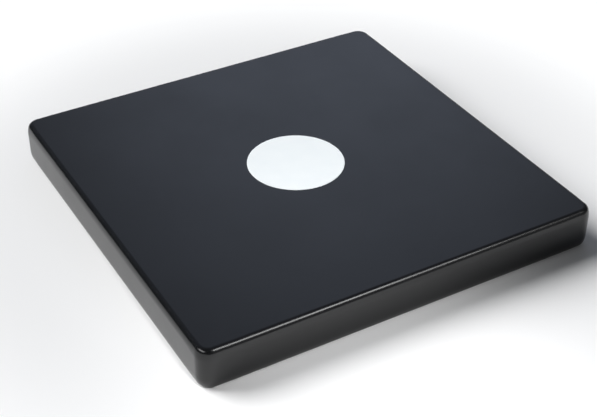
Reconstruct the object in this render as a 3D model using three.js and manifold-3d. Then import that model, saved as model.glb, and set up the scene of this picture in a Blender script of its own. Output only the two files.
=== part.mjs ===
// A travel cajon: a flat, square box drum that lies on the lap. Four wooden rails carry a thin playing
// plate on top and a back plate below. Two fans of snare wire, clamped to a bar across the box, rise to the
// underside of the playing plate and buzz when it is struck. A slot in the rear rail lets the air out.
// Millimetres, +Z up, origin at the centre of the underside. The front rail, nearest the player, faces -Y.
import * as THREE from "three";
import { mergeVertices } from "three/addons/utils/BufferGeometryUtils.js";
import Module from "manifold-3d";

const wasm = await Module();
wasm.setup();

// Body
const BODY_WIDTH = 300;
const BODY_DEPTH = 300;
const BODY_HEIGHT = 31;
const PLAYING_PLATE_THICKNESS = 4;
const BACK_PLATE_THICKNESS = 4;
const RAIL_THICKNESS = 12;
const CORNER_RADIUS = 10; // upright corners, seen from above
const EDGE_ROUND = 4; // rounding of the top and bottom edges, routed after the box is glued
const GLUE_LINE = 0.1; // gap at every glued or seated flat face
const FIT_GAP = 0.3; // gap in holes, mortises and under the clamps

// Slot in the rear rail
const PORT_WIDTH = 70;
const PORT_HEIGHT = 11;

// Corner joints
const DOWEL_DIAMETER = 5;
const DOWEL_GRIP = 18; // length of the dowel in the end of a side rail
const DOWEL_COVER = 6; // wood left between a dowel hole and the outside of the front or rear rail
const DOWEL_EDGE = 5; // from the top or bottom of a rail to the middle of a dowel
const CORNER_BLOCK_LEG = 22;
const CORNER_BLOCK_TIP = 3; // blunt width at the thin ends of a corner block

// Snare
const BAR_FROM_CENTRE = 48; // the bar's middle, from the box's middle towards the rear
const BAR_DEPTH = 14;
const BAR_FLOOR_GAP = 5; // from the back plate up to the bar
const MORTISE_DEPTH = 6;
const FAN_FROM_CENTRE = 70;
const WIRE_COUNT = 10;
const WIRE_PITCH = 4;
const WIRE_DIAMETER = 2; // over the coil
const WIRE_GAUGE = 0.4; // of the steel that is wound into the coil
const WIRE_END_GAP = 8; // from the wires' free ends to the rear rail
const WIRE_SOLDER = 0.3; // depth that a wire is sunk in its solder on the strip
const SNARE_GAP = 0.3; // from the free ends up to the playing plate
const STRIP_THICKNESS = 0.8;
const STRIP_MARGIN = 4; // from the outermost wire's middle to the end of the strip
const STRIP_LIP = 7; // part of the strip that stands out behind the bar and carries the wires
const CLAMP_DEPTH = 8;
const CLAMP_THICKNESS = 1.6;
const SCREW_SPACING = 24; // between the two screws of a clamp
const SCREW_DIAMETER = 3;
const SCREW_LENGTH = 10;
const SCREW_POINT = 2;
const SCREW_HEAD_DIAMETER = 5.6;
const SCREW_HEAD_HEIGHT = 1.4;
const HEAD_CLEARANCE = 1; // from the screw heads up to the playing plate

// Badge
const BADGE_DIAMETER = 70;
const BADGE_THICKNESS = 0.2;

// Facets
const CORNER_STEPS = 8;
const EDGE_STEPS = 6;
const BADGE_SIDES = 64;
const HOLE_SIDES = 16;
const WIRE_SIDES = 8;
const WELD_DISTANCE = 1e-4; // corners closer than this are one

// Heights that the pieces share
const plateUnderside = BODY_HEIGHT - PLAYING_PLATE_THICKNESS;
const railBottom = BACK_PLATE_THICKNESS + GLUE_LINE;
const railTop = plateUnderside - GLUE_LINE;
const railMiddle = (railBottom + railTop) / 2;
const innerHalfWidth = BODY_WIDTH / 2 - RAIL_THICKNESS;
const innerHalfDepth = BODY_DEPTH / 2 - RAIL_THICKNESS;

// The snare's stack is counted down from the playing plate
const clampTop = plateUnderside - HEAD_CLEARANCE - SCREW_HEAD_HEIGHT;
const clampBottom = clampTop - CLAMP_THICKNESS;
const stripTop = clampBottom - FIT_GAP;
const stripMiddle = stripTop - STRIP_THICKNESS / 2;
const barTop = stripTop - STRIP_THICKNESS - FIT_GAP;
const barBottom = BACK_PLATE_THICKNESS + BAR_FLOOR_GAP;
const barRear = BAR_FROM_CENTRE + BAR_DEPTH / 2;
const clampMiddle = barRear - CLAMP_DEPTH / 2;
const stripWidth = (WIRE_COUNT - 1) * WIRE_PITCH + 2 * STRIP_MARGIN;

const lacquer = { color: 0x16171b, roughness: 0.32, metalness: 0 };
const rawWood = { color: 0xc49a64, roughness: 0.75, metalness: 0 };
const steel = { color: 0xb9bcc0, roughness: 0.3, metalness: 1 };
const foil = { color: 0xeef3f6, roughness: 0.35, metalness: 0 };

// Closed three.js geometry to a solid, and back again
function solidOf(geometry) {
  const bare = geometry.clone();
  bare.deleteAttribute("normal");
  bare.deleteAttribute("uv");
  const merged = mergeVertices(bare, WELD_DISTANCE);
  return new wasm.Manifold(
    new wasm.Mesh({
      numProp: 3,
      vertProperties: merged.attributes.position.array,
      triVerts: new Uint32Array(merged.index.array),
    }),
  );
}

function geometryOf(solid) {
  const mesh = solid.getMesh();
  const indexed = new THREE.BufferGeometry();
  indexed.setAttribute("position", new THREE.BufferAttribute(mesh.vertProperties, mesh.numProp));
  indexed.setIndex(new THREE.BufferAttribute(mesh.triVerts, 1));
  const geometry = indexed.toNonIndexed();
  geometry.computeVertexNormals();
  return geometry;
}

function cut(geometry, ...tools) {
  return geometryOf(tools.reduce((solid, tool) => solid.subtract(solidOf(tool)), solidOf(geometry)));
}

function join(...geometries) {
  return geometryOf(geometries.map(solidOf).reduce((whole, piece) => whole.add(piece)));
}

function common(a, b) {
  return geometryOf(solidOf(a).intersect(solidOf(b)));
}

// A box given by its lowest and highest corners
function region(low, high) {
  const size = high.map((value, axis) => value - low[axis]);
  const middle = high.map((value, axis) => (value + low[axis]) / 2);
  return new THREE.BoxGeometry(...size).translate(...middle);
}

// A cylinder along Y, from one end to the other
function cylinderAlongY(radius, yFrom, yTo, sides) {
  return new THREE.CylinderGeometry(radius, radius, yTo - yFrom, sides).translate(0, (yFrom + yTo) / 2, 0);
}

function roundedRectangle(width, height, radius) {
  const x = width / 2 - radius;
  const y = height / 2 - radius;
  const shape = new THREE.Shape();
  shape.absarc(x, -y, radius, -Math.PI / 2, 0);
  shape.absarc(x, y, radius, 0, Math.PI / 2);
  shape.absarc(-x, y, radius, Math.PI / 2, Math.PI);
  shape.absarc(-x, -y, radius, Math.PI, (3 * Math.PI) / 2);
  shape.closePath();
  return shape;
}

const body = new THREE.Group();

function addPiece(parent, name, geometry, finish) {
  const piece = new THREE.Mesh(geometry, new THREE.MeshStandardMaterial(finish));
  piece.name = name;
  parent.add(piece);
  return piece;
}

// The glued box as one rounded blank. Each plate and rail is what its own place holds of it.
const blank = new THREE.ExtrudeGeometry(roundedRectangle(BODY_WIDTH, BODY_DEPTH, CORNER_RADIUS), {
  depth: BODY_HEIGHT - 2 * EDGE_ROUND,
  bevelThickness: EDGE_ROUND,
  bevelSize: EDGE_ROUND,
  bevelOffset: -EDGE_ROUND,
  bevelSegments: EDGE_STEPS,
  curveSegments: CORNER_STEPS,
}).translate(0, 0, EDGE_ROUND);

// Plates
const beyond = BODY_WIDTH + BODY_DEPTH; // further out than any face of the blank

addPiece(
  body,
  "playing_plate",
  common(blank, region([-beyond, -beyond, plateUnderside], [beyond, beyond, beyond])),
  lacquer,
);
addPiece(
  body,
  "back_plate",
  common(blank, region([-beyond, -beyond, -beyond], [beyond, beyond, BACK_PLATE_THICKNESS])),
  lacquer,
);

// Dowels and their holes, two in each corner. side is -1 for left and 1 for right, end is -1 for front
// and 1 for rear.
const SIDES = { left: -1, right: 1 };
const ENDS = { front: -1, rear: 1 };
const dowelHeights = { lower: railBottom + DOWEL_EDGE, upper: railTop - DOWEL_EDGE };
const dowelDepthInEnd = RAIL_THICKNESS - DOWEL_COVER;
const dowelAcross = BODY_WIDTH / 2 - RAIL_THICKNESS / 2;

function dowelHole(side, end, height) {
  const deep = innerHalfDepth - GLUE_LINE - DOWEL_GRIP - FIT_GAP;
  const shallow = innerHalfDepth + dowelDepthInEnd;
  const hole = cylinderAlongY(DOWEL_DIAMETER / 2 + FIT_GAP, deep, shallow, HOLE_SIDES);
  if (end < 0) hole.rotateZ(Math.PI);
  return hole.translate(side * dowelAcross, 0, height);
}

function cornerDowels(side, sideName, end, endName) {
  for (const [level, height] of Object.entries(dowelHeights)) {
    const length = GLUE_LINE + DOWEL_GRIP + dowelDepthInEnd - FIT_GAP;
    const dowel = addPiece(
      body,
      `dowel_${endName}_${sideName}_${level}`,
      cylinderAlongY(DOWEL_DIAMETER / 2, -length / 2, length / 2, HOLE_SIDES),
      rawWood,
    );
    const nearEnd = innerHalfDepth - GLUE_LINE - DOWEL_GRIP;
    dowel.position.set(side * dowelAcross, end * (nearEnd + length / 2), height);
  }
}

// Front and rear rails run the full width. The side rails stand between them.
function endRail(end) {
  const inner = end * innerHalfDepth;
  const outer = end * beyond;
  const holes = Object.values(SIDES).flatMap((side) =>
    Object.values(dowelHeights).map((height) => dowelHole(side, end, height)),
  );
  const place = region(
    [-beyond, Math.min(inner, outer), railBottom],
    [beyond, Math.max(inner, outer), railTop],
  );
  return cut(common(blank, place), ...holes);
}

function portHole() {
  const slot = new THREE.ExtrudeGeometry(roundedRectangle(PORT_WIDTH, PORT_HEIGHT, PORT_HEIGHT / 2), {
    depth: 2 * RAIL_THICKNESS,
    bevelEnabled: false,
    curveSegments: CORNER_STEPS,
  });
  return slot.rotateX(Math.PI / 2).translate(0, BODY_DEPTH / 2 + RAIL_THICKNESS / 2, railMiddle);
}

addPiece(body, "front_rail", endRail(ENDS.front), lacquer);
addPiece(body, "rear_rail", cut(endRail(ENDS.rear), portHole()), lacquer);

function barMortise(side) {
  const bottom = side * (innerHalfWidth + MORTISE_DEPTH);
  const mouth = side * (innerHalfWidth - RAIL_THICKNESS);
  return region(
    [Math.min(bottom, mouth), barRear - BAR_DEPTH - FIT_GAP, barBottom - FIT_GAP],
    [Math.max(bottom, mouth), barRear + FIT_GAP, barTop + FIT_GAP],
  );
}

function sideRail(side) {
  const inner = side * innerHalfWidth;
  const outer = side * beyond;
  const length = innerHalfDepth - GLUE_LINE;
  const holes = Object.values(ENDS).flatMap((end) =>
    Object.values(dowelHeights).map((height) => dowelHole(side, end, height)),
  );
  const place = region(
    [Math.min(inner, outer), -length, railBottom],
    [Math.max(inner, outer), length, railTop],
  );
  return cut(common(blank, place), barMortise(side), ...holes);
}

// Glue block for an inside corner, with its square corner at the origin
function cornerBlock() {
  const outline = new THREE.Shape();
  outline.moveTo(0, 0);
  outline.lineTo(CORNER_BLOCK_LEG, 0);
  outline.lineTo(CORNER_BLOCK_LEG, CORNER_BLOCK_TIP);
  outline.lineTo(CORNER_BLOCK_TIP, CORNER_BLOCK_LEG);
  outline.lineTo(0, CORNER_BLOCK_LEG);
  outline.closePath();
  return new THREE.ExtrudeGeometry(outline, { depth: railTop - railBottom, bevelEnabled: false });
}

const blockTurns = { front_left: 0, front_right: Math.PI / 2, rear_right: Math.PI, rear_left: -Math.PI / 2 };

for (const [sideName, side] of Object.entries(SIDES)) {
  addPiece(body, `${sideName}_rail`, sideRail(side), lacquer);
  for (const [endName, end] of Object.entries(ENDS)) {
    cornerDowels(side, sideName, end, endName);
    const corner = `${endName}_${sideName}`;
    const block = addPiece(body, `corner_block_${corner}`, cornerBlock(), rawWood);
    block.rotation.z = blockTurns[corner];
    block.position.set(side * (innerHalfWidth - GLUE_LINE), end * (innerHalfDepth - GLUE_LINE), railBottom);
  }
}

// Snare bar, housed in the side rails, with a pilot hole under each clamp screw
const screwPlaces = Object.values(SIDES).flatMap((fan) =>
  Object.values(SIDES).map((side) => fan * FAN_FROM_CENTRE + (side * SCREW_SPACING) / 2),
);
const barHalfLength = innerHalfWidth + MORTISE_DEPTH - FIT_GAP;

function screwHole(bottom, top) {
  return new THREE.CylinderGeometry(
    SCREW_DIAMETER / 2 + FIT_GAP,
    SCREW_DIAMETER / 2 + FIT_GAP,
    top - bottom,
    HOLE_SIDES,
  )
    .rotateX(Math.PI / 2)
    .translate(0, 0, (top + bottom) / 2);
}

const screwTip = clampTop - SCREW_LENGTH;
const barBlank = region(
  [-barHalfLength, barRear - BAR_DEPTH, barBottom],
  [barHalfLength, barRear, barTop],
);
const pilotHoles = screwPlaces.map((x) =>
  screwHole(screwTip - FIT_GAP, clampTop).translate(x, clampMiddle, 0),
);
addPiece(body, "snare_bar", cut(barBlank, ...pilotHoles), rawWood);

// A close coil of snare wire along Y, as a tube with a wall one wire thick
function coilAlongY(length) {
  const outer = WIRE_DIAMETER / 2;
  const inner = outer - WIRE_GAUGE;
  const profile = [
    [inner, 0],
    [outer, 0],
    [outer, length],
    [inner, length],
    [inner, 0],
  ].map(([r, y]) => new THREE.Vector2(r, y));
  return new THREE.LatheGeometry(profile, WIRE_SIDES);
}

// A snare fan is a steel strip with its coils soldered on. Its origin is the line across the middle of the
// clamp, which the fan rocks about when the wires bounce.
function snareFan() {
  const strip = region(
    [-stripWidth / 2, -CLAMP_DEPTH / 2, -STRIP_THICKNESS / 2],
    [stripWidth / 2, CLAMP_DEPTH / 2 + STRIP_LIP, STRIP_THICKNESS / 2],
  );
  const start = CLAMP_DEPTH / 2 + FIT_GAP;
  const end = innerHalfDepth - WIRE_END_GAP - clampMiddle;
  const startHeight = STRIP_THICKNESS / 2 + WIRE_DIAMETER / 2 - WIRE_SOLDER;
  const endHeight = plateUnderside - SNARE_GAP - WIRE_DIAMETER / 2 - stripMiddle;
  const rise = Math.atan2(endHeight - startHeight, end - start);
  const wires = Array.from({ length: WIRE_COUNT }, (_, index) =>
    coilAlongY((end - start) / Math.cos(rise))
      .rotateX(rise)
      .translate((index - (WIRE_COUNT - 1) / 2) * WIRE_PITCH, start, startHeight),
  );
  const holes = Object.values(SIDES).map((side) =>
    screwHole(-STRIP_THICKNESS, STRIP_THICKNESS).translate((side * SCREW_SPACING) / 2, 0, 0),
  );
  return join(cut(strip, ...holes), ...wires);
}

function snareClamp() {
  const plate = region(
    [-stripWidth / 2, -CLAMP_DEPTH / 2, 0],
    [stripWidth / 2, CLAMP_DEPTH / 2, CLAMP_THICKNESS],
  );
  const holes = Object.values(SIDES).map((side) =>
    screwHole(-CLAMP_THICKNESS, 2 * CLAMP_THICKNESS).translate((side * SCREW_SPACING) / 2, 0, 0),
  );
  return cut(plate, ...holes);
}

// Wood screw with its origin under the head, pointing down
function clampScrew() {
  const headRadius = SCREW_HEAD_DIAMETER / 2;
  const radius = SCREW_DIAMETER / 2;
  const crown = SCREW_HEAD_HEIGHT / 3;
  const profile = [
    [0, -SCREW_LENGTH],
    [radius, SCREW_POINT - SCREW_LENGTH],
    [radius, 0],
    [headRadius, 0],
    [headRadius, SCREW_HEAD_HEIGHT - crown],
    [headRadius - crown, SCREW_HEAD_HEIGHT],
    [0, SCREW_HEAD_HEIGHT],
  ].map(([r, z]) => new THREE.Vector2(r, z));
  return new THREE.LatheGeometry(profile, HOLE_SIDES).rotateX(Math.PI / 2);
}

for (const [fanName, fanSide] of Object.entries(SIDES)) {
  const snare = new THREE.Group();
  snare.position.set(fanSide * FAN_FROM_CENTRE, clampMiddle, 0);
  body.add(snare);
  addPiece(snare, `snare_fan_${fanName}`, snareFan(), steel).position.z = stripMiddle;
  addPiece(snare, `snare_clamp_${fanName}`, snareClamp(), steel).position.z = clampBottom;
  for (const [side, direction] of Object.entries(SIDES)) {
    const screw = addPiece(snare, `clamp_screw_${fanName}_fan_${side}`, clampScrew(), steel);
    screw.position.set((direction * SCREW_SPACING) / 2, 0, clampTop + GLUE_LINE);
  }
}

// Plain round foil in the middle of the playing plate
const badgeRadius = BADGE_DIAMETER / 2;
const badge = new THREE.CylinderGeometry(badgeRadius, badgeRadius, BADGE_THICKNESS, BADGE_SIDES);
addPiece(body, "centre_badge", badge.rotateX(Math.PI / 2), foil).position.z =
  BODY_HEIGHT + GLUE_LINE + BADGE_THICKNESS / 2;

export default body;
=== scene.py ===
"""A flat travel cajon: black lacquered box, plain pale badge and coiled snares, dressed around the frame."""

import math

import bmesh
import bpy
from mathutils import Matrix, Vector


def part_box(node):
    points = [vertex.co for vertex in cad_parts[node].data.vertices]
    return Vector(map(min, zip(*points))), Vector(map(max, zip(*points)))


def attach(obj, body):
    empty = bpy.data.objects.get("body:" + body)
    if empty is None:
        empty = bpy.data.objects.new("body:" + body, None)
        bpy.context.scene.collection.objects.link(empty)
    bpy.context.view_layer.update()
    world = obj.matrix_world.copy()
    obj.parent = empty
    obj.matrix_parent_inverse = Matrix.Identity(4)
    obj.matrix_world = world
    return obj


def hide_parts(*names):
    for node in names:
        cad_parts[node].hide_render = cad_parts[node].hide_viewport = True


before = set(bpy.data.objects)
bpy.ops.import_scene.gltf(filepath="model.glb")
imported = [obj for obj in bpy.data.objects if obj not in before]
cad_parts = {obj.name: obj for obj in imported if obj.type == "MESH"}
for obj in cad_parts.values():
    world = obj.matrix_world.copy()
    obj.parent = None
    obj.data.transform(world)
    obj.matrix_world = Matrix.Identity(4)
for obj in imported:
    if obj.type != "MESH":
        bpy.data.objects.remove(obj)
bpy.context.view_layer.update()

MM = 0.001
X, Y, Z = range(3)
QUARTER_TURN = math.radians(90)
FULL_TURN = math.radians(360)
SQUARE = ((1, -1), (1, 1), (-1, 1), (-1, -1))
FRONT_RIGHT, REAR_RIGHT, REAR_LEFT, FRONT_LEFT = range(len(SQUARE))

# Rounded edges: a tight roll from flat, then a curve into the side, which is longer near the corners
CORNER_RADIUS = 10 * MM
EDGE_ROLL = 4 * MM
ROLL_TURN = math.radians(75)
EDGE_EASE = 14 * MM
CORNER_EASE = 20 * MM
CORNER_BLEND = 15 * MM  # stretch of a side, from its corner on, over which the curve changes

# Holes in the box
FIT_GAP = 0.3 * MM
SLOT_WIDTH = 70 * MM
SLOT_HEIGHT = 11 * MM
SLOT_RIM = 1.6 * MM
SLOT_RIM_TURN = math.radians(74)  # of the rounded rim, from the slot's wall to the outside
SLOT_OVERSHOOT = 0.5 * MM

# Snares
WIRE_COUNT = 10
WIRE_PITCH = 4 * MM
WIRE_GAUGE = 0.4 * MM
WIRE_SUNK = 0.3 * MM
WIRE_END_GAP = 8 * MM
COIL_DIAMETER = 2 * MM
COIL_PITCH = 0.8 * MM
SNARE_GAP = 0.3 * MM
STRIP_THICKNESS = 0.8 * MM
STRIP_LIP = 7 * MM
SOLDER_SIZE = Vector((2.9, 5.4, 1.5)) * MM
SOLDER_RISE = SOLDER_SIZE.z / 4  # from the underside of a coil to the middle of its bead
BEAD_RADIUS = 0.5  # one unit across, until a bead is scaled to its size

# Screws and dowels
SCREW_SHANK = 3 * MM
SCREW_POINT = 2.4 * MM
SCREW_HEAD_HEIGHT = 1.4 * MM
SCREW_HEAD_RIM = SCREW_HEAD_HEIGHT / 3
CROWN_FLAT = 0.55  # of the head's radius
THREAD_PITCH = 1.1 * MM
THREAD_DEPTH = 0.4 * MM
THREAD_SHARE = 0.5  # of the pitch that the ridge takes up
RECESS_DEPTH = 0.9 * MM
RECESS_LENGTH = 3.4 * MM
RECESS_WIDTH = 0.8 * MM
RECESS_TAPER = 0.6
RECESS_OVERSHOOT = 0.3 * MM
FLUTE_COUNT = 16
FLUTE_DEPTH = 0.25 * MM
DOWEL_CHAMFER = 0.8 * MM

# Eased edges of the pieces inside
EASE = 0.5 * MM
EASED_FROM = math.radians(40)

# Mesh fineness
CORNER_STEPS = 18
BLEND_STEPS = 8
EDGE_STEPS = 14
SLOT_STEPS = 24
HOLE_STEPS = 32
BADGE_STEPS = 160
EASE_STEPS = 3
COIL_STEPS = 12
WIRE_SIDES = 5
BEAD_SEGMENTS = 14
BEAD_RINGS = 8
THREAD_STEPS = 24
THREAD_LEVELS = 8  # for each turn of the thread
CROWN_STEPS = 6
HOLD = 0.6 * MM  # strip beside a rounded edge that keeps the shading of the flat apart
HOLD_SHARE = 0.01
SHARP_ANGLE = math.radians(14)
FLAT_ANGLE = math.radians(1)
MOST_SMOOTH_SIDES = 4  # a face with more sides is a flat with a hole in it
WELD = 0.0001 * MM
SLIVER = 0.001 * MM

# Places of the finishes on a piece
MAIN = 0
BARE = 1

# Colours in linear light, from dark to pale
LACQUER_BLACKS = ((0.0031, 0.0033, 0.0039), (0.0043, 0.0047, 0.0055))
BOARD_BROWNS = ((0.30, 0.19, 0.105), (0.42, 0.285, 0.165), (0.52, 0.37, 0.23))
BEECH_BROWNS = ((0.46, 0.285, 0.145), (0.56, 0.36, 0.195), (0.62, 0.42, 0.24))
BEECH_FLECK = (0.30, 0.17, 0.08, 1)
SOLDER_GREYS = ((0.36, 0.37, 0.38), (0.52, 0.53, 0.54))
FOIL_WHITES = ((0.875, 0.92, 0.935), (0.9, 0.94, 0.95))
WIRE_GREY = (0.66, 0.665, 0.68)
PLATE_GREY = (0.6, 0.61, 0.63)
SCREW_GREY = (0.62, 0.63, 0.66)
TARNISH = 0.82  # brightness of steel where it is dullest

# Patterns
PATTERN_LOW = 0.3  # most of a noise pattern lies between these two
PATTERN_HIGH = 0.7
GRAIN_STRETCH = 0.06
DRAWN_STRETCH = 0.03

# Picture, as fitted to the box's outline
PICTURE_SIZE = Vector((597, 417))
SENSOR_WIDTH = 36.0
FOCAL_PIXELS = 1286.17
CAMERA_AZIMUTH = math.radians(-29.9)
CAMERA_ELEVATION = math.radians(35.98)
CAMERA_ROLL = math.radians(0.13)
CAMERA_DISTANCE = 929.42 * MM
CAMERA_NEAR = 10 * MM
BOX_IN_PICTURE = Vector((295.81, 179.95))

# Paper that the box lies on, with painted shade on it round the box
FLOOR_REACH = 60.0
PAPER_COLOUR = (0.85, 0.85, 0.85, 1)
PAPER_GLOW = 0.22
GLOW_COLOUR = (1, 1, 1, 1)
# No glow out to GLOW_FROM from the middle of the box, full glow from GLOW_FULL_AT on: painted shade on the
# paper near the box
GLOW_FROM = 0.2
GLOW_FULL_AT = 0.36

# Lamps
KEY_FROM = (-0.5, 0.6, 0.6)
KEY_STRENGTH = 4.5
KEY_SPREAD = math.radians(45)
SPOT_PLACE = (-0.1, -0.75, 0.75)
SPOT_TARGET = (-0.06, -0.185, 0)
SPOT_POWER = 24.0
SPOT_CONE = math.radians(20)
SPOT_SOFTNESS = 1.0
SPOT_SIZE = 0.06
STRIP_PLACE = (0.68, -1.13, 1.68)
STRIP_TARGET = (0.1, -0.1, 0.03)
STRIP_SIZE = (0.85, 0.6)
STRIP_RADIANCE = 11.0
SIDE_PLACE = (-1.39, -0.14, 1.15)
SIDE_TARGET = (-0.15, -0.15, 0.03)
SIDE_SIZE = (1.3, 0.45)
SIDE_RADIANCE = 6.0

# Room. Each glow has a bearing from the rear towards the right, an elevation, a spread and a colour
ROOM_COLOUR = (0.055, 0.057, 0.06, 1)
GLOWS = (
    (math.radians(31.5), math.radians(30), math.radians(16), (0.5, 0.565, 0.715, 1)),
    (math.radians(20), math.radians(37), math.radians(60), (0.12, 0.135, 0.165, 1)),
    (math.radians(150), math.radians(5), math.radians(60), (0.22, 0.22, 0.22, 1)),
)

# Places that the pieces share
plate_low, plate_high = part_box("playing_plate")
back_low, back_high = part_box("back_plate")
half_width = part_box("right_rail")[1].x
half_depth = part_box("rear_rail")[1].y
inner_half_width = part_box("right_rail")[0].x
inner_half_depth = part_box("rear_rail")[0].y
box_middle = Vector((0, 0, (back_low.z + plate_high.z) / 2))
slot_middle = Vector((0, half_depth, (back_high.z + plate_low.z) / 2))


# Shader helpers
def node(tree, kind, inputs, **settings):
    """Adds a node. An input that is another node's output is linked, any other value is set."""
    made = tree.nodes.new(kind)
    for name, value in settings.items():
        setattr(made, name, value)
    for name, value in inputs.items():
        if isinstance(value, bpy.types.NodeSocket):
            tree.links.new(value, made.inputs[name])
        else:
            made.inputs[name].default_value = value
    return made


def new_finish(name, **sockets):
    """A material with one Principled shader, whose constant values go straight on its sockets."""
    finish = bpy.data.materials.new(name)
    finish.use_nodes = True
    shader = finish.node_tree.nodes["Principled BSDF"]
    for socket, value in sockets.items():
        shader.inputs[socket.replace("_", " ")].default_value = value
    return finish, finish.node_tree, shader


def object_coordinates(tree, stretch=(1, 1, 1)):
    """Coordinates in metres on the piece, stretched for patterns with a direction."""
    source = node(tree, "ShaderNodeTexCoord", {})
    mapping = node(tree, "ShaderNodeMapping", {"Vector": source.outputs["Object"], "Scale": stretch})
    return mapping.outputs["Vector"]


def coordinates_along(tree, axis, stretch):
    """Coordinates for a pattern that is drawn out along one axis."""
    scale = [1.0, 1.0, 1.0]
    scale[axis] = stretch
    return object_coordinates(tree, scale)


def noise(tree, where, scale, detail=2.0, roughness=0.5):
    """A noise pattern with so many features to a metre."""
    made = node(
        tree,
        "ShaderNodeTexNoise",
        {"Vector": where, "Scale": scale, "Detail": detail, "Roughness": roughness},
    )
    return made.outputs["Fac"]


def spread(tree, value, low, high, start=PATTERN_LOW, end=PATTERN_HIGH):
    """Maps the middle of a pattern's range to a range of values."""
    made = node(
        tree,
        "ShaderNodeMapRange",
        {"Value": value, "From Min": start, "From Max": end, "To Min": low, "To Max": high},
    )
    return made.outputs["Result"]


def blend_colours(tree, value, colours):
    """A colour ramp with its stops spread evenly over the middle of the pattern's range."""
    ramp = node(tree, "ShaderNodeValToRGB", {"Fac": value})
    stops = ramp.color_ramp.elements
    while len(stops) < len(colours):
        stops.new((PATTERN_LOW + PATTERN_HIGH) / 2)
    for index, colour in enumerate(colours):
        share = index / (len(colours) - 1)
        stops[index].position = PATTERN_LOW + (PATTERN_HIGH - PATTERN_LOW) * share
        stops[index].color = (*colour, 1)
    return ramp.outputs["Color"]


def relief(tree, height, depth, under=None):
    """Bump of the given depth, on top of another bump if one is given."""
    inputs = {"Height": height, "Distance": depth, "Strength": 1.0}
    if under is not None:
        inputs["Normal"] = under
    return node(tree, "ShaderNodeBump", inputs).outputs["Normal"]


def arithmetic(tree, operation, first, second):
    """Result of one sum on two values."""
    return node(tree, "ShaderNodeMath", {0: first, 1: second}, operation=operation).outputs["Value"]


def feed(tree, shader, **outputs):
    """Links node outputs to the shader's sockets."""
    for socket, output in outputs.items():
        tree.links.new(output, shader.inputs[socket.replace("_", " ")])


# Finishes
def black_lacquer():
    """Sprayed black lacquer, rubbed to a semi gloss: faint orange peel, long waves and soft rub marks."""
    finish, tree, shader = new_finish("black_lacquer_sprayed", IOR=1.5)
    where = object_coordinates(tree)
    depth_of_black = blend_colours(tree, noise(tree, where, scale=45, detail=4), LACQUER_BLACKS)
    rubbing = noise(tree, where, scale=22, detail=5, roughness=0.6)
    waves = relief(tree, noise(tree, where, scale=30, detail=1), depth=0.02 * MM)
    orange_peel = relief(tree, noise(tree, where, scale=420, detail=1), depth=0.004 * MM, under=waves)
    feed(
        tree,
        shader,
        Base_Color=depth_of_black,
        Roughness=spread(tree, rubbing, low=0.2, high=0.26),
        Normal=orange_peel,
    )
    return finish


def raw_board():
    """Sanded fibre board: fine flecks in a warm brown."""
    finish, tree, shader = new_finish("raw_fibre_board", IOR=1.45)
    where = object_coordinates(tree)
    flecks = noise(tree, where, scale=1400, detail=4, roughness=0.7)
    clouds = noise(tree, where, scale=60, detail=3)
    feed(
        tree,
        shader,
        Base_Color=blend_colours(tree, flecks, BOARD_BROWNS),
        Roughness=spread(tree, clouds, low=0.72, high=0.86),
        Normal=relief(tree, flecks, depth=0.06 * MM),
    )
    return finish


def beech(name, along):
    """Pale beech with its grain along one axis and short dark flecks in it."""
    finish, tree, shader = new_finish(f"beech_{name}", IOR=1.47)
    where = coordinates_along(tree, along, GRAIN_STRETCH)
    fibres = noise(tree, where, scale=900, detail=5, roughness=0.65)
    rings = noise(tree, where, scale=110, detail=3)
    flecks = node(tree, "ShaderNodeTexVoronoi", {"Vector": where, "Scale": 1100.0}).outputs["Distance"]
    flecked = node(
        tree,
        "ShaderNodeMixRGB",
        {
            "Fac": spread(tree, flecks, low=0.45, high=0.0, start=0.02, end=0.22),
            "Color1": blend_colours(tree, rings, BEECH_BROWNS),
            "Color2": BEECH_FLECK,
        },
    )
    feed(
        tree,
        shader,
        Base_Color=flecked.outputs["Color"],
        Roughness=spread(tree, fibres, low=0.52, high=0.7),
        Normal=relief(tree, fibres, depth=0.08 * MM),
    )
    return finish


def bright_steel(name, along, grey, smooth, rough):
    """Drawn or rolled steel with fine lines along one axis, duller in places."""
    finish, tree, shader = new_finish(name, Metallic=1.0)
    lines = noise(tree, coordinates_along(tree, along, DRAWN_STRETCH), scale=4200, detail=3, roughness=0.6)
    tarnish = noise(tree, object_coordinates(tree), scale=260, detail=3)
    dull_grey = tuple(TARNISH * channel for channel in grey)
    feed(
        tree,
        shader,
        Base_Color=blend_colours(tree, tarnish, (dull_grey, grey)),
        Roughness=spread(tree, lines, low=smooth, high=rough),
        Normal=relief(tree, lines, depth=0.006 * MM),
    )
    return finish


def dull_solder():
    """Soft solder, grey and slightly grainy."""
    finish, tree, shader = new_finish("dull_solder", Metallic=1.0)
    grains = noise(tree, object_coordinates(tree), scale=2600, detail=3)
    feed(
        tree,
        shader,
        Base_Color=blend_colours(tree, grains, SOLDER_GREYS),
        Roughness=spread(tree, grains, low=0.34, high=0.5),
        Normal=relief(tree, grains, depth=0.03 * MM),
    )
    return finish


def badge_foil():
    """Matt white foil with a trace of blue and a fine cast grain."""
    finish, tree, shader = new_finish("badge_foil_white", IOR=1.46)
    where = object_coordinates(tree)
    grain = noise(tree, where, scale=2400, detail=2)
    clouds = noise(tree, where, scale=70, detail=3)
    feed(
        tree,
        shader,
        Base_Color=blend_colours(tree, clouds, FOIL_WHITES),
        Roughness=spread(tree, grain, low=0.42, high=0.5),
        Normal=relief(tree, grain, depth=0.006 * MM),
    )
    return finish


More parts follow.
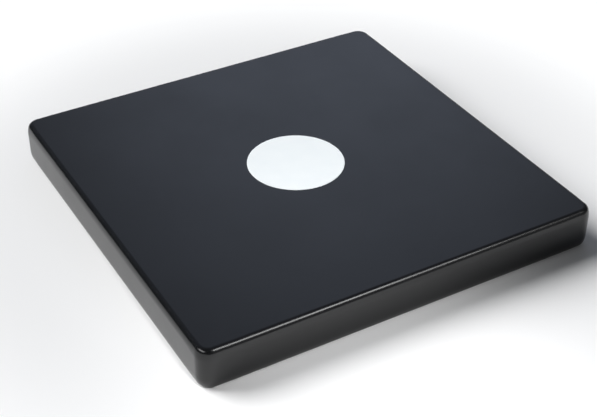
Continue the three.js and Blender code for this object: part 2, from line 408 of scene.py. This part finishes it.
LACQUER = black_lacquer()
BOARD = raw_board()
BEECH_ALONG_X = beech("along_x", X)
BEECH_ALONG_Y = beech("along_y", Y)
BEECH_UPRIGHT = beech("upright", Z)
WIRE_STEEL = bright_steel("drawn_wire_steel", Y, WIRE_GREY, smooth=0.2, rough=0.3)
PLATE_STEEL = bright_steel("rolled_plate_steel", X, PLATE_GREY, smooth=0.26, rough=0.4)
SCREW_STEEL = bright_steel("plated_screw_steel", Z, SCREW_GREY, smooth=0.18, rough=0.28)
SOLDER = dull_solder()
FOIL = badge_foil()


# Mesh helpers
def linked(name, data):
    """A new object in the scene, made of the given data."""
    made = bpy.data.objects.new(name, data)
    bpy.context.scene.collection.objects.link(made)
    return made


def mark_sharp(bm):
    """Marks the edges at which the shading breaks."""
    for edge in bm.edges:
        edge.smooth = edge.calc_face_angle(0) < SHARP_ANGLE


def finished(name, bm, *finishes):
    """Closes a mesh up, turns its faces outward, marks its sharp edges and makes it an object."""
    bmesh.ops.remove_doubles(bm, verts=bm.verts, dist=WELD)
    bmesh.ops.recalc_face_normals(bm, faces=bm.faces)
    for face in bm.faces:
        face.smooth = True
    mark_sharp(bm)
    mesh = bpy.data.meshes.new(name)
    bm.to_mesh(mesh)
    bm.free()
    for finish in finishes:
        mesh.materials.append(finish)
    return linked(name, mesh)


def loft(bm, rings, bare_sides=()):
    """Skins a stack of closed rings and caps its ends. The named sides of the rings stay bare wood."""
    loops = [[bm.verts.new(point) for point in ring] for ring in rings]
    count = len(rings[0])
    for lower, upper in zip(loops, loops[1:]):
        for side in range(count):
            after = (side + 1) % count
            wall = bm.faces.new((lower[side], lower[after], upper[after], upper[side]))
            wall.material_index = BARE if side in bare_sides else MAIN
    return bm.faces.new(reversed(loops[0])), bm.faces.new(loops[-1])


def circle(radius, steps):
    """Points of a flat circle."""
    turns = [FULL_TURN * step / steps for step in range(steps)]
    return [radius * Vector((math.cos(turn), math.sin(turn))) for turn in turns]


def rectangle(low, high):
    """Plan corners of a box."""
    corners = ((low.x, low.y), (high.x, low.y), (high.x, high.y), (low.x, high.y))
    return [Vector(corner) for corner in corners]


def at_height(points, height):
    """Plan points raised to a height."""
    return [Vector((point.x, point.y, height)) for point in points]


def stood_at(points, middle, depth):
    """Points of a flat outline, stood upright round a middle at a place along Y."""
    return [Vector((middle.x + point.x, depth, middle.z + point.y)) for point in points]


def raised(outline, low, high):
    """Mesh of a plan outline that stands from one height to another."""
    bm = bmesh.new()
    loft(bm, [at_height(outline, low), at_height(outline, high)])
    return bm


def baked(piece):
    """Applies a piece's modifiers, so that a plain mesh is left."""
    depsgraph = bpy.context.evaluated_depsgraph_get()
    mesh = bpy.data.meshes.new_from_object(piece.evaluated_get(depsgraph))
    piece.modifiers.clear()
    spare = piece.data
    piece.data = mesh
    bpy.data.meshes.remove(spare)
    return piece


def carve(piece, *cutters):
    """Cuts holes in a piece. A hole's walls take the finish at the cutter's own place."""
    for cutter in cutters:
        cut = piece.modifiers.new("hole", "BOOLEAN")
        cut.object = cutter
        cut.operation = "DIFFERENCE"
        cut.solver = "EXACT"
    baked(piece)
    for cutter in cutters:
        spare = cutter.data
        bpy.data.objects.remove(cutter)
        bpy.data.meshes.remove(spare)
    bm = bmesh.new()
    bm.from_mesh(piece.data)
    bmesh.ops.dissolve_degenerate(bm, dist=SLIVER, edges=bm.edges)
    mark_sharp(bm)
    for face in bm.faces:
        face.smooth = len(face.verts) <= MOST_SMOOTH_SIDES
    bm.to_mesh(piece.data)
    bm.free()
    return piece


def dress(piece, cad_node, body):
    """Puts a finished piece in the place of a solid."""
    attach(piece, body)
    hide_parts(cad_node)


# Lacquered box
def corner_places(quarter):
    """Plan places round one upright corner and along the first stretch of the sides that meet there."""
    side_x, side_y = SQUARE[quarter]
    middle = Vector((side_x * (half_width - CORNER_RADIUS), side_y * (half_depth - CORNER_RADIUS)))
    first = QUARTER_TURN * (quarter - 1)
    arc = []
    for step in range(CORNER_STEPS + 1):
        turn = first + QUARTER_TURN * step / CORNER_STEPS
        arc.append(middle + CORNER_RADIUS * Vector((math.cos(turn), math.sin(turn))))
    reaches = [HOLD, *[CORNER_BLEND * step / BLEND_STEPS for step in range(1, BLEND_STEPS + 1)]]
    before = [arc[0] + reach * Vector((math.sin(first), -math.cos(first))) for reach in reversed(reaches)]
    after = [arc[-1] + reach * Vector((-math.cos(first), -math.sin(first))) for reach in reaches]
    return [*before, *arc, *after]


def plate_outline():
    """Both plates in plan."""
    quarters = (FRONT_RIGHT, REAR_RIGHT, REAR_LEFT, FRONT_LEFT)
    return [place for quarter in quarters for place in corner_places(quarter)]


def end_rail_outline():
    """Front rail in plan: its places on the outline of the box. Its bare side needs none of its own."""
    corners = [*corner_places(FRONT_LEFT), *corner_places(FRONT_RIGHT)]
    front = [place for place in corners if place.y < -inner_half_depth]
    left_end = Vector((-half_width, -inner_half_depth))
    right_end = Vector((half_width, -inner_half_depth))
    return [left_end, *front, right_end], []


def side_rail_outline():
    """Left rail in plan: its places on the outline of the box and those of its bare side."""
    corners = [*corner_places(REAR_LEFT), *corner_places(FRONT_LEFT)]
    left = [place for place in corners if abs(place.y) < inner_half_depth]
    rear_end = Vector((-half_width, inner_half_depth))
    front_end = Vector((-half_width, -inner_half_depth))
    thickness = Vector((half_width - inner_half_width, 0))
    return [rear_end, *left, front_end], [front_end + thickness, rear_end + thickness]


def outward_way(place):
    """Plan direction that the outline of the box faces at a place on it."""
    reach_x, reach_y = half_width - CORNER_RADIUS, half_depth - CORNER_RADIUS
    core = Vector((max(-reach_x, min(reach_x, place.x)), max(-reach_y, min(reach_y, place.y))))
    return (place - core).normalized()


def ease_radius(place):
    """Radius of the curve from the rolled edge into the side at a place on the outline."""
    from_corner = max(half_width - abs(place.x), half_depth - abs(place.y)) - CORNER_RADIUS
    share = min(1.0, max(0.0, from_corner / CORNER_BLEND))
    smooth_share = share * share * (3 - 2 * share)
    return CORNER_EASE + (EDGE_EASE - CORNER_EASE) * smooth_share


def edge_point(place, turn, flat_height, inward):
    """Point of the rounded edge at a turn from flat. inward is 1 or -1 in height."""
    ease = ease_radius(place)
    rolled, eased = min(turn, ROLL_TURN), max(turn, ROLL_TURN)
    across = EDGE_ROLL * (math.sin(ROLL_TURN) - math.sin(rolled)) + ease * (1 - math.sin(eased))
    along = EDGE_ROLL * (1 - math.cos(rolled)) + ease * (math.cos(ROLL_TURN) - math.cos(eased))
    point = place - across * outward_way(place)
    return Vector((*point, flat_height + inward * along))


def seam_turn(place, thickness):
    """Turn of the edge at which a plate ends and the rails begin, on the curve into the side."""
    eased = thickness - EDGE_ROLL * (1 - math.cos(ROLL_TURN))
    return math.acos(math.cos(ROLL_TURN) - eased / ease_radius(place))


def edge_shares():
    """Shares of the way round an edge, with a holding share beside each end."""
    inner = [step / EDGE_STEPS for step in range(1, EDGE_STEPS)]
    return [0.0, HOLD_SHARE, *inner, 1 - HOLD_SHARE, 1.0]


def plate_ring(outline, share, thickness, flat_height, inward):
    """Ring of a plate at a share of the way from its seam with the rails to its flat."""
    ring = []
    for place in outline:
        turn = (1 - share) * seam_turn(place, thickness)
        ring.append(edge_point(place, turn, flat_height, inward))
    return ring


def lacquered_plate(name, low, high, flat_height, inward):
    """Thin plate with one rounded edge, lacquered outside and bare inside. inward is 1 or -1 in height."""
    bm = bmesh.new()
    outline = plate_outline()
    rings = [plate_ring(outline, share, high.z - low.z, flat_height, inward) for share in edge_shares()]
    flat_edge = zip(outline, rings[-1])
    rings.append([point - HOLD * outward_way(place).to_3d() for place, point in flat_edge])
    inside, _ = loft(bm, rings)
    inside.material_index = BARE
    return finished(name, bm, LACQUER, BOARD)


def rail_ring(outer, inner, share, thickness, flat_height, inward):
    """Ring of a rail at a share of the way from its seam with a plate to where its side stands upright."""
    ring = []
    for place in outer:
        seam = seam_turn(place, thickness)
        ring.append(edge_point(place, seam + share * (QUARTER_TURN - seam), flat_height, inward))
    return [*ring, *at_height(inner, ring[0].z)]


def lacquered_rail(name, outer, inner, turned):
    """A rail between the plates, with its share of the rounded edges at the top and bottom."""
    bm = bmesh.new()
    back_edge = (back_high.z - back_low.z, back_low.z, 1)
    plate_edge = (plate_high.z - plate_low.z, plate_high.z, -1)
    lower = [rail_ring(outer, inner, share, *back_edge) for share in edge_shares()]
    upper = [rail_ring(outer, inner, share, *plate_edge) for share in reversed(edge_shares())]
    bare_sides = range(len(outer) - 1, len(outer) + len(inner))
    for cap in loft(bm, [*lower, *upper], bare_sides):
        cap.material_index = BARE
    bmesh.ops.rotate(bm, verts=bm.verts, matrix=Matrix.Rotation(turned, 3, "Z"))
    return finished(name, bm, LACQUER, BOARD)


def bare_cutter(bm):
    """Cutter that leaves bare walls."""
    for face in bm.faces:
        face.material_index = BARE
    return finished("cutter", bm, LACQUER, BOARD)


def bar_cutter():
    """Bare walled mortise for the ends of the snare bar, a fit gap larger."""
    gap = Vector((FIT_GAP, FIT_GAP, FIT_GAP))
    bar_low, bar_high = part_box("snare_bar")
    low, high = bar_low - gap, bar_high + gap
    return bare_cutter(raised(rectangle(low, high), low.z, high.z))


def dowel_cutter(dowel):
    """Bare walled round hole along Y for a dowel, a fit gap larger."""
    low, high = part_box(dowel)
    outline = circle((high.x - low.x) / 2 + FIT_GAP, HOLE_STEPS)
    depths = (low.y - FIT_GAP, high.y + FIT_GAP)
    bm = bmesh.new()
    loft(bm, [stood_at(outline, (low + high) / 2, depth) for depth in depths])
    return bare_cutter(bm)


def slot_outline(offset):
    """The sound slot's outline, a straight slot with round ends, made larger by offset."""
    radius = SLOT_HEIGHT / 2 + offset
    reach = SLOT_WIDTH / 2 - SLOT_HEIGHT / 2
    points = []
    for side in (1, -1):
        for step in range(SLOT_STEPS + 1):
            turn = side * QUARTER_TURN * (2 * step / SLOT_STEPS - 1)
            points.append(Vector((side * (reach + radius * math.cos(turn)), radius * math.sin(turn))))
    return points


def slot_cutter():
    """Lacquered sound slot through the rear rail, with a rounded outer rim."""
    sections = [(inner_half_depth - SLOT_OVERSHOOT, 0.0)]
    for step in range(EDGE_STEPS + 1):
        turn = SLOT_RIM_TURN * step / EDGE_STEPS
        depth = half_depth - SLOT_RIM * (math.sin(SLOT_RIM_TURN) - math.sin(turn))
        sections.append((depth, SLOT_RIM * (1 - math.cos(turn))))
    depth, offset = sections[-1]
    sections.append((depth + SLOT_OVERSHOOT, offset + SLOT_OVERSHOOT * math.tan(SLOT_RIM_TURN)))
    bm = bmesh.new()
    loft(bm, [stood_at(slot_outline(offset), slot_middle, depth) for depth, offset in sections])
    return finished("cutter", bm, LACQUER, BOARD)


def lacquered_box():
    """Two plates and four rails, each a piece of its own, flush with its neighbours under the lacquer."""
    top = lacquered_plate("lacquered_playing_plate", plate_low, plate_high, plate_high.z, -1)
    dress(top, "playing_plate", "box")
    bottom = lacquered_plate("lacquered_back_plate", back_low, back_high, back_low.z, 1)
    dress(bottom, "back_plate", "box")
    rails = {
        "front_rail": (end_rail_outline, 0.0),
        "rear_rail": (end_rail_outline, math.pi),
        "left_rail": (side_rail_outline, 0.0),
        "right_rail": (side_rail_outline, math.pi),
    }
    dowels = [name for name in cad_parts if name.startswith("dowel_")]
    for cad_node, (outline, turned) in rails.items():
        rail = lacquered_rail(f"lacquered_{cad_node}", *outline(), turned)
        place = cad_node.split("_")[0]
        cutters = [dowel_cutter(dowel) for dowel in dowels if place in dowel.split("_")]
        if outline is side_rail_outline:
            cutters.append(bar_cutter())
        if cad_node == "rear_rail":
            cutters.append(slot_cutter())
        carve(rail, *cutters)
        dress(rail, cad_node, "box")


# Badge
def plain_badge():
    """Bare round foil with a softly rolled edge."""
    low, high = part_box("centre_badge")
    radius = (high.x - low.x) / 2
    thickness = high.z - low.z
    sections = [(radius, plate_high.z), (radius, low.z)]
    for step in range(1, EASE_STEPS + 1):
        turn = QUARTER_TURN * step / EASE_STEPS
        sections.append((radius - thickness * (1 - math.cos(turn)), low.z + thickness * math.sin(turn)))
    sections.append((radius - HOLD, high.z))
    bm = bmesh.new()
    loft(bm, [at_height(circle(reach, BADGE_STEPS), height) for reach, height in sections])
    dress(finished("plain_badge", bm, FOIL), "centre_badge", "box")


# Pieces inside
def eased_copy(cad_node, finish):
    """The solid with its edges eased by a few strokes of sandpaper or a deburring pass."""
    bm = bmesh.new()
    bm.from_mesh(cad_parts[cad_node].data)
    bmesh.ops.remove_doubles(bm, verts=bm.verts, dist=WELD)
    bmesh.ops.dissolve_limit(bm, angle_limit=FLAT_ANGLE, verts=bm.verts, edges=bm.edges)
    for face in bm.faces:
        face.material_index = MAIN
    piece = finished(f"eased_{cad_node}", bm, finish)
    ease = piece.modifiers.new("eased edges", "BEVEL")
    ease.width = EASE
    ease.segments = EASE_STEPS
    ease.limit_method = "ANGLE"
    ease.angle_limit = EASED_FROM
    ease.harden_normals = False
    dress(baked(piece), cad_node, "box")


def fluted_outline(radius):
    """Round outline of a dowel, with every second point drawn in for a groove."""
    points = circle(radius, 2 * FLUTE_COUNT)
    groove = (radius - FLUTE_DEPTH) / radius
    return [point * groove if step % 2 else point for step, point in enumerate(points)]


def fluted_dowel(cad_node):
    """Grooved beech dowel along Y with chamfered ends."""
    low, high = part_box(cad_node)
    radius = (high.x - low.x) / 2
    sections = (
        (low.y, DOWEL_CHAMFER),
        (low.y + DOWEL_CHAMFER, 0.0),
        (high.y - DOWEL_CHAMFER, 0.0),
        (high.y, DOWEL_CHAMFER),
    )
    bm = bmesh.new()
    loft(bm, [stood_at(fluted_outline(radius - inset), (low + high) / 2, y) for y, inset in sections])
    dress(finished(f"fluted_{cad_node}", bm, BEECH_ALONG_Y), cad_node, "box")


def thread_ring(middle, height, tip):
    """Ring of the threaded shank at a height, which tapers to the tip."""
    taper = min(1.0, (height - tip) / SCREW_POINT)
    core = SCREW_SHANK / 2 - THREAD_DEPTH
    ring = []
    for step in range(THREAD_STEPS):
        share = step / THREAD_STEPS
        phase = ((height - tip) / THREAD_PITCH + share) % 1.0
        ridge = max(0.0, 1 - 2 * abs(phase - 0.5) / THREAD_SHARE)
        reach = (core + THREAD_DEPTH * ridge) * taper
        ring.append(middle + reach * Vector((math.cos(FULL_TURN * share), math.sin(FULL_TURN * share))))
    return at_height(ring, height)


def head_ring(middle, height, radius):
    """Ring of the screw's head at a height."""
    return at_height([middle + point for point in circle(radius, THREAD_STEPS)], height)


def recess_cutter(middle, top, length, width):
    """One arm of the cross recess, which narrows downwards."""
    mouth = [Vector((x * length / 2, y * width / 2)) for x, y in SQUARE]
    foot_ring = at_height([middle + RECESS_TAPER * corner for corner in mouth], top - RECESS_DEPTH)
    mouth_ring = at_height([middle + corner for corner in mouth], top + RECESS_OVERSHOOT)
    bm = bmesh.new()
    loft(bm, [foot_ring, mouth_ring])
    return finished("cutter", bm, SCREW_STEEL)


def threaded_screw(cad_node):
    """Wood screw with a rolled thread, a low round head and a cross recess."""
    low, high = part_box(cad_node)
    middle = ((low + high) / 2).xy
    head_radius = (high.x - low.x) / 2
    head_foot = high.z - SCREW_HEAD_HEIGHT
    level = THREAD_PITCH / THREAD_LEVELS
    levels = range(1, int((head_foot - low.z) / level))
    rings = [thread_ring(middle, low.z + step * level, low.z) for step in levels]
    rings += [head_ring(middle, head_foot, radius) for radius in (SCREW_SHANK / 2, head_radius)]
    for step in range(CROWN_STEPS + 1):
        turn = QUARTER_TURN * step / CROWN_STEPS
        rise = SCREW_HEAD_RIM + (SCREW_HEAD_HEIGHT - SCREW_HEAD_RIM) * math.sin(turn)
        reach = CROWN_FLAT + (1 - CROWN_FLAT) * math.cos(turn)
        rings.append(head_ring(middle, head_foot + rise, head_radius * reach))
    bm = bmesh.new()
    loft(bm, rings)
    screw = finished(f"threaded_{cad_node}", bm, SCREW_STEEL)
    arms = ((RECESS_LENGTH, RECESS_WIDTH), (RECESS_WIDTH, RECESS_LENGTH))
    carve(screw, *[recess_cutter(middle, high.z, *arm) for arm in arms])
    dress(screw, cad_node, "box")


# Coiled snares
SNARE_INPUTS = {
    "Wires": "NodeSocketInt",
    "Wire pitch": "NodeSocketFloat",
    "Coil radius": "NodeSocketFloat",
    "Wire radius": "NodeSocketFloat",
    "Turns": "NodeSocketFloat",
    "Length": "NodeSocketFloat",
    "Slope": "NodeSocketVector",
    "First wire": "NodeSocketVector",
    "Solder size": "NodeSocketVector",
    "Solder place": "NodeSocketVector",
}


def coil_shape(tree, given):
    """Geometry of one wire, wound into a coil that lies on its slope."""
    spiral = node(
        tree,
        "GeometryNodeCurveSpiral",
        {
            "Resolution": COIL_STEPS,
            "Rotations": given["Turns"],
            "Start Radius": given["Coil radius"],
            "End Radius": given["Coil radius"],
            "Height": given["Length"],
        },
    )
    section = node(
        tree, "GeometryNodeCurvePrimitiveCircle", {"Resolution": WIRE_SIDES, "Radius": given["Wire radius"]}
    )
    coil = node(
        tree,
        "GeometryNodeCurveToMesh",
        {"Curve": spiral.outputs["Curve"], "Profile Curve": section.outputs["Curve"], "Fill Caps": True},
    )
    laid = node(
        tree, "GeometryNodeTransform", {"Geometry": coil.outputs["Mesh"], "Rotation": given["Slope"]}
    )
    return laid.outputs["Geometry"]


def bead_shape(tree, given):
    """Geometry of the bead of solder at the start of a wire."""
    bead = node(
        tree,
        "GeometryNodeMeshUVSphere",
        {"Segments": BEAD_SEGMENTS, "Rings": BEAD_RINGS, "Radius": BEAD_RADIUS},
    )
    seated = node(
        tree,
        "GeometryNodeTransform",
        {
            "Geometry": bead.outputs["Mesh"],
            "Translation": given["Solder place"],
            "Scale": given["Solder size"],
        },
    )
    return seated.outputs["Geometry"]


def set_in_row(tree, shape, row, finish):
    """A copy of a shape at each point of a row, made real, smooth and finished."""
    copies = node(tree, "GeometryNodeInstanceOnPoints", {"Points": row, "Instance": shape})
    real = node(tree, "GeometryNodeRealizeInstances", {"Geometry": copies.outputs["Instances"]})
    smooth = node(tree, "GeometryNodeSetShadeSmooth", {"Geometry": real.outputs["Geometry"]})
    coated = node(
        tree, "GeometryNodeSetMaterial", {"Geometry": smooth.outputs["Geometry"], "Material": finish}
    )
    return coated.outputs["Geometry"]


def snare_tree():
    """Geometry nodes: a row of coils along X, each with a bead of solder. Gives the tree and its inputs."""
    tree = bpy.data.node_groups.new("coiled_snare_wires", "GeometryNodeTree")
    inputs = {}
    for name, kind in SNARE_INPUTS.items():
        inputs[name] = tree.interface.new_socket(name, in_out="INPUT", socket_type=kind).identifier
    tree.interface.new_socket("Geometry", in_out="OUTPUT", socket_type="NodeSocketGeometry")
    given = tree.nodes.new("NodeGroupInput").outputs
    step = node(tree, "ShaderNodeCombineXYZ", {"X": given["Wire pitch"]})
    row = node(
        tree,
        "GeometryNodeMeshLine",
        {"Count": given["Wires"], "Start Location": given["First wire"], "Offset": step.outputs["Vector"]},
    )
    both = node(tree, "GeometryNodeJoinGeometry", {})
    for shape, finish in ((coil_shape(tree, given), WIRE_STEEL), (bead_shape(tree, given), SOLDER)):
        tree.links.new(set_in_row(tree, shape, row.outputs["Mesh"], finish), both.inputs["Geometry"])
    result = tree.nodes.new("NodeGroupOutput")
    tree.links.new(both.outputs["Geometry"], result.inputs["Geometry"])
    return tree, inputs


def winding_sizes(side):
    """Values of the tree's inputs for one fan, whose wires rise from the strip to the playing plate."""
    fan_low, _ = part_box(f"snare_fan_{side}")
    clamp_low, clamp_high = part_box(f"snare_clamp_{side}")
    middle = (clamp_low.x + clamp_high.x) / 2
    start_height = fan_low.z + STRIP_THICKNESS + COIL_DIAMETER / 2 - WIRE_SUNK
    start = Vector((middle, clamp_high.y + FIT_GAP, start_height))
    end_height = plate_low.z - SNARE_GAP - COIL_DIAMETER / 2
    end = Vector((middle, inner_half_depth - WIRE_END_GAP, end_height))
    run = end - start
    rise = math.atan2(run.z, run.y)
    return {
        "Wires": WIRE_COUNT,
        "Wire pitch": WIRE_PITCH,
        "Coil radius": (COIL_DIAMETER - WIRE_GAUGE) / 2,
        "Wire radius": WIRE_GAUGE / 2,
        "Turns": run.length / COIL_PITCH,
        "Length": run.length,
        "Slope": (rise - QUARTER_TURN, 0, 0),
        "First wire": start - Vector(((WIRE_COUNT - 1) * WIRE_PITCH / 2, 0, 0)),
        "Solder size": SOLDER_SIZE,
        "Solder place": (0, SOLDER_SIZE.y / 2, SOLDER_RISE - COIL_DIAMETER / 2),
    }


def wound_wires(side, tree, inputs):
    """The wires and solder of one fan, as a plain mesh."""
    wires = linked("wires", bpy.data.meshes.new("wires"))
    winding = wires.modifiers.new("winding", "NODES")
    winding.node_group = tree
    for name, value in winding_sizes(side).items():
        winding[inputs[name]] = value
    return baked(wires)


def screw_hole_cutter(screw):
    """Round upright hole for a clamp screw."""
    low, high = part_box(screw)
    middle = ((low + high) / 2).xy
    outline = [middle + point for point in circle(SCREW_SHANK / 2 + FIT_GAP, HOLE_STEPS)]
    return finished("cutter", raised(outline, low.z, high.z), PLATE_STEEL)


def snare_strip(side):
    """Flat steel strip that carries the wires, drilled for the two clamp screws."""
    low, fan_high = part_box(f"snare_fan_{side}")
    _, clamp_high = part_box(f"snare_clamp_{side}")
    high = Vector((fan_high.x, clamp_high.y + STRIP_LIP, low.z + STRIP_THICKNESS))
    strip = finished("strip", raised(rectangle(low, high), low.z, high.z), PLATE_STEEL)
    screws = [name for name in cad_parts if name.startswith(f"clamp_screw_{side}_fan")]
    return carve(strip, *[screw_hole_cutter(screw) for screw in screws])


def coiled_snare(side, tree, inputs):
    """A snare fan: its strip, wires and solder as one piece."""
    wires = wound_wires(side, tree, inputs)
    strip = snare_strip(side)
    joined = bmesh.new()
    joined.from_mesh(strip.data)
    strip_faces = len(joined.faces)
    joined.from_mesh(wires.data)
    joined.faces.ensure_lookup_table()
    for face in joined.faces[strip_faces:]:
        face.material_index += 1
    mesh = bpy.data.meshes.new(f"coiled_snare_{side}")
    joined.to_mesh(mesh)
    joined.free()
    for finish in (PLATE_STEEL, *wires.data.materials):
        mesh.materials.append(finish)
    for spare in (wires, strip):
        bpy.data.objects.remove(spare)
    piece = linked(f"coiled_snare_{side}", mesh)
    dress(piece, f"snare_fan_{side}", f"{side}_snare")


def inside_pieces():
    """Everything that the box hides."""
    for cad_node in list(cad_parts):
        if cad_node.startswith("corner_block_"):
            eased_copy(cad_node, BEECH_UPRIGHT)
        elif cad_node == "snare_bar":
            eased_copy(cad_node, BEECH_ALONG_X)
        elif cad_node.startswith("snare_clamp_"):
            eased_copy(cad_node, PLATE_STEEL)
        elif cad_node.startswith("dowel_"):
            fluted_dowel(cad_node)
        elif cad_node.startswith("clamp_screw_"):
            threaded_screw(cad_node)
    tree, inputs = snare_tree()
    for side in ("left", "right"):
        coiled_snare(side, tree, inputs)


# Stage
def studio_floor():
    """White paper with a faint glow of its own, which starts a little way out from the box, so that the
    paper next to the box stays darker: a painted shade round the box, which the lacquered sides mirror too.
    """
    paper, tree, shader = new_finish(
        "white_paper",
        Base_Color=PAPER_COLOUR,
        Roughness=0.9,
        Specular_IOR_Level=0.1,
        Emission_Color=GLOW_COLOUR,
    )
    # Glow only away from the box, so the paper near it is darker: painted shade added to the lamps' real
    # shadow
    distance = node(tree, "ShaderNodeVectorMath", {0: object_coordinates(tree)}, operation="LENGTH")
    glow_past_painted_shade = node(
        tree,
        "ShaderNodeMapRange",
        {
            "Value": distance.outputs["Value"],
            "From Min": GLOW_FROM,
            "From Max": GLOW_FULL_AT,
            "To Max": PAPER_GLOW,
        },
        interpolation_type="SMOOTHSTEP",
    )
    path = node(tree, "ShaderNodeLightPath", {}).outputs
    seen = arithmetic(tree, "MAXIMUM", path["Is Camera Ray"], path["Is Glossy Ray"])
    seen = arithmetic(tree, "MAXIMUM", seen, path["Is Transmission Ray"])
    feed(tree, shader, Emission_Strength=arithmetic(tree, "MULTIPLY", seen, glow_past_painted_shade.outputs["Result"]))
    bm = bmesh.new()
    corners = [FLOOR_REACH * Vector(corner) for corner in SQUARE]
    bm.faces.new([bm.verts.new(point) for point in at_height(corners, back_low.z)])
    finished("studio_floor", bm, paper)


def hung(name, lamp, place, target):
    """Hangs a lamp at a place and points it at a target."""
    holder = linked(name, lamp)
    holder.location = place
    holder.rotation_euler = (Vector(target) - Vector(place)).to_track_quat("-Z", "Y").to_euler()
    return holder


def key_sun():
    """Large, soft key from the left and behind. It shapes the shadow and doesn't show in the lacquer."""
    lamp = bpy.data.lights.new("key", "SUN")
    lamp.energy = KEY_STRENGTH
    lamp.angle = KEY_SPREAD
    hung("key", lamp, KEY_FROM, (0, 0, 0)).visible_glossy = False


def paper_spot():
    """Soft spot on the paper in front of the box, for the front rail to mirror on its left."""
    lamp = bpy.data.lights.new("paper_spot", "SPOT")
    lamp.energy = SPOT_POWER
    lamp.spot_size = SPOT_CONE
    lamp.spot_blend = SPOT_SOFTNESS
    lamp.shadow_soft_size = SPOT_SIZE
    hung("paper_spot", lamp, SPOT_PLACE, SPOT_TARGET).visible_glossy = False


def gleam_box(name, place, target, size, radiance):
    """A flat lamp of even radiance that only gleams in the lacquer."""
    lamp = bpy.data.lights.new(name, "AREA")
    lamp.shape = "RECTANGLE"
    lamp.size, lamp.size_y = size
    lamp.energy = radiance * math.pi * math.prod(size)
    hung(name, lamp, place, target).visible_diffuse = False


def sky_direction(bearing, elevation):
    """Way to a place in the sky, with bearings from the rear towards the right."""
    flat = math.cos(elevation)
    return math.sin(bearing) * flat, math.cos(bearing) * flat, math.sin(elevation)


def dim_room():
    """Dark room with soft glows: two behind the box for the playing plate to mirror, one low in front."""
    world = bpy.data.worlds.new("dim_room")
    world.use_nodes = True
    tree = world.node_tree
    where = node(tree, "ShaderNodeTexCoord", {}).outputs["Generated"]
    light = ROOM_COLOUR
    for bearing, elevation, glow_spread, colour in GLOWS:
        middle = sky_direction(bearing, elevation)
        closeness = node(tree, "ShaderNodeVectorMath", {0: where, 1: middle}, operation="DOT_PRODUCT")
        share = node(
            tree,
            "ShaderNodeMapRange",
            {"Value": closeness.outputs["Value"], "From Min": math.cos(glow_spread), "From Max": 1.0},
            interpolation_type="SMOOTHSTEP",
        )
        added = node(
            tree,
            "ShaderNodeMixRGB",
            {"Fac": share.outputs["Result"], "Color1": light, "Color2": colour},
            blend_type="ADD",
        )
        light = added.outputs["Color"]
    tree.links.new(light, tree.nodes["Background"].inputs["Color"])
    bpy.context.scene.world = world


def studio_light():
    """Key, spot, two lamps that gleam in the lacquer, and the room."""
    key_sun()
    paper_spot()
    gleam_box("front_strip", STRIP_PLACE, STRIP_TARGET, STRIP_SIZE, STRIP_RADIANCE)
    gleam_box("side_box", SIDE_PLACE, SIDE_TARGET, SIDE_SIZE, SIDE_RADIANCE)
    dim_room()


def picture_camera():
    """Camera of the picture, with the box where the picture has it."""
    flat = math.cos(CAMERA_ELEVATION)
    back = Vector(
        (math.sin(CAMERA_AZIMUTH) * flat, -math.cos(CAMERA_AZIMUTH) * flat, math.sin(CAMERA_ELEVATION))
    )
    level = Vector((math.cos(CAMERA_AZIMUTH), math.sin(CAMERA_AZIMUTH), 0))
    upward = back.cross(level)
    right = math.cos(CAMERA_ROLL) * level + math.sin(CAMERA_ROLL) * upward
    up = math.cos(CAMERA_ROLL) * upward - math.sin(CAMERA_ROLL) * level
    off_centre = (BOX_IN_PICTURE - PICTURE_SIZE / 2) / FOCAL_PIXELS
    place = box_middle + CAMERA_DISTANCE * (back - right * off_centre.x + up * off_centre.y)
    lens = bpy.data.cameras.new("picture_camera")
    lens.sensor_width = SENSOR_WIDTH
    lens.lens = FOCAL_PIXELS * SENSOR_WIDTH / PICTURE_SIZE.x
    lens.clip_start = CAMERA_NEAR
    lens.clip_end = 2 * FLOOR_REACH
    holder = linked("picture_camera", lens)
    turn = Matrix((right, up, back)).transposed().to_4x4()
    holder.matrix_world = Matrix.Translation(place) @ turn
    bpy.context.scene.camera = holder


picture_camera()
lacquered_box()
plain_badge()
inside_pieces()
studio_floor()
studio_light()
bpy.context.scene.view_settings.view_transform = "Standard"
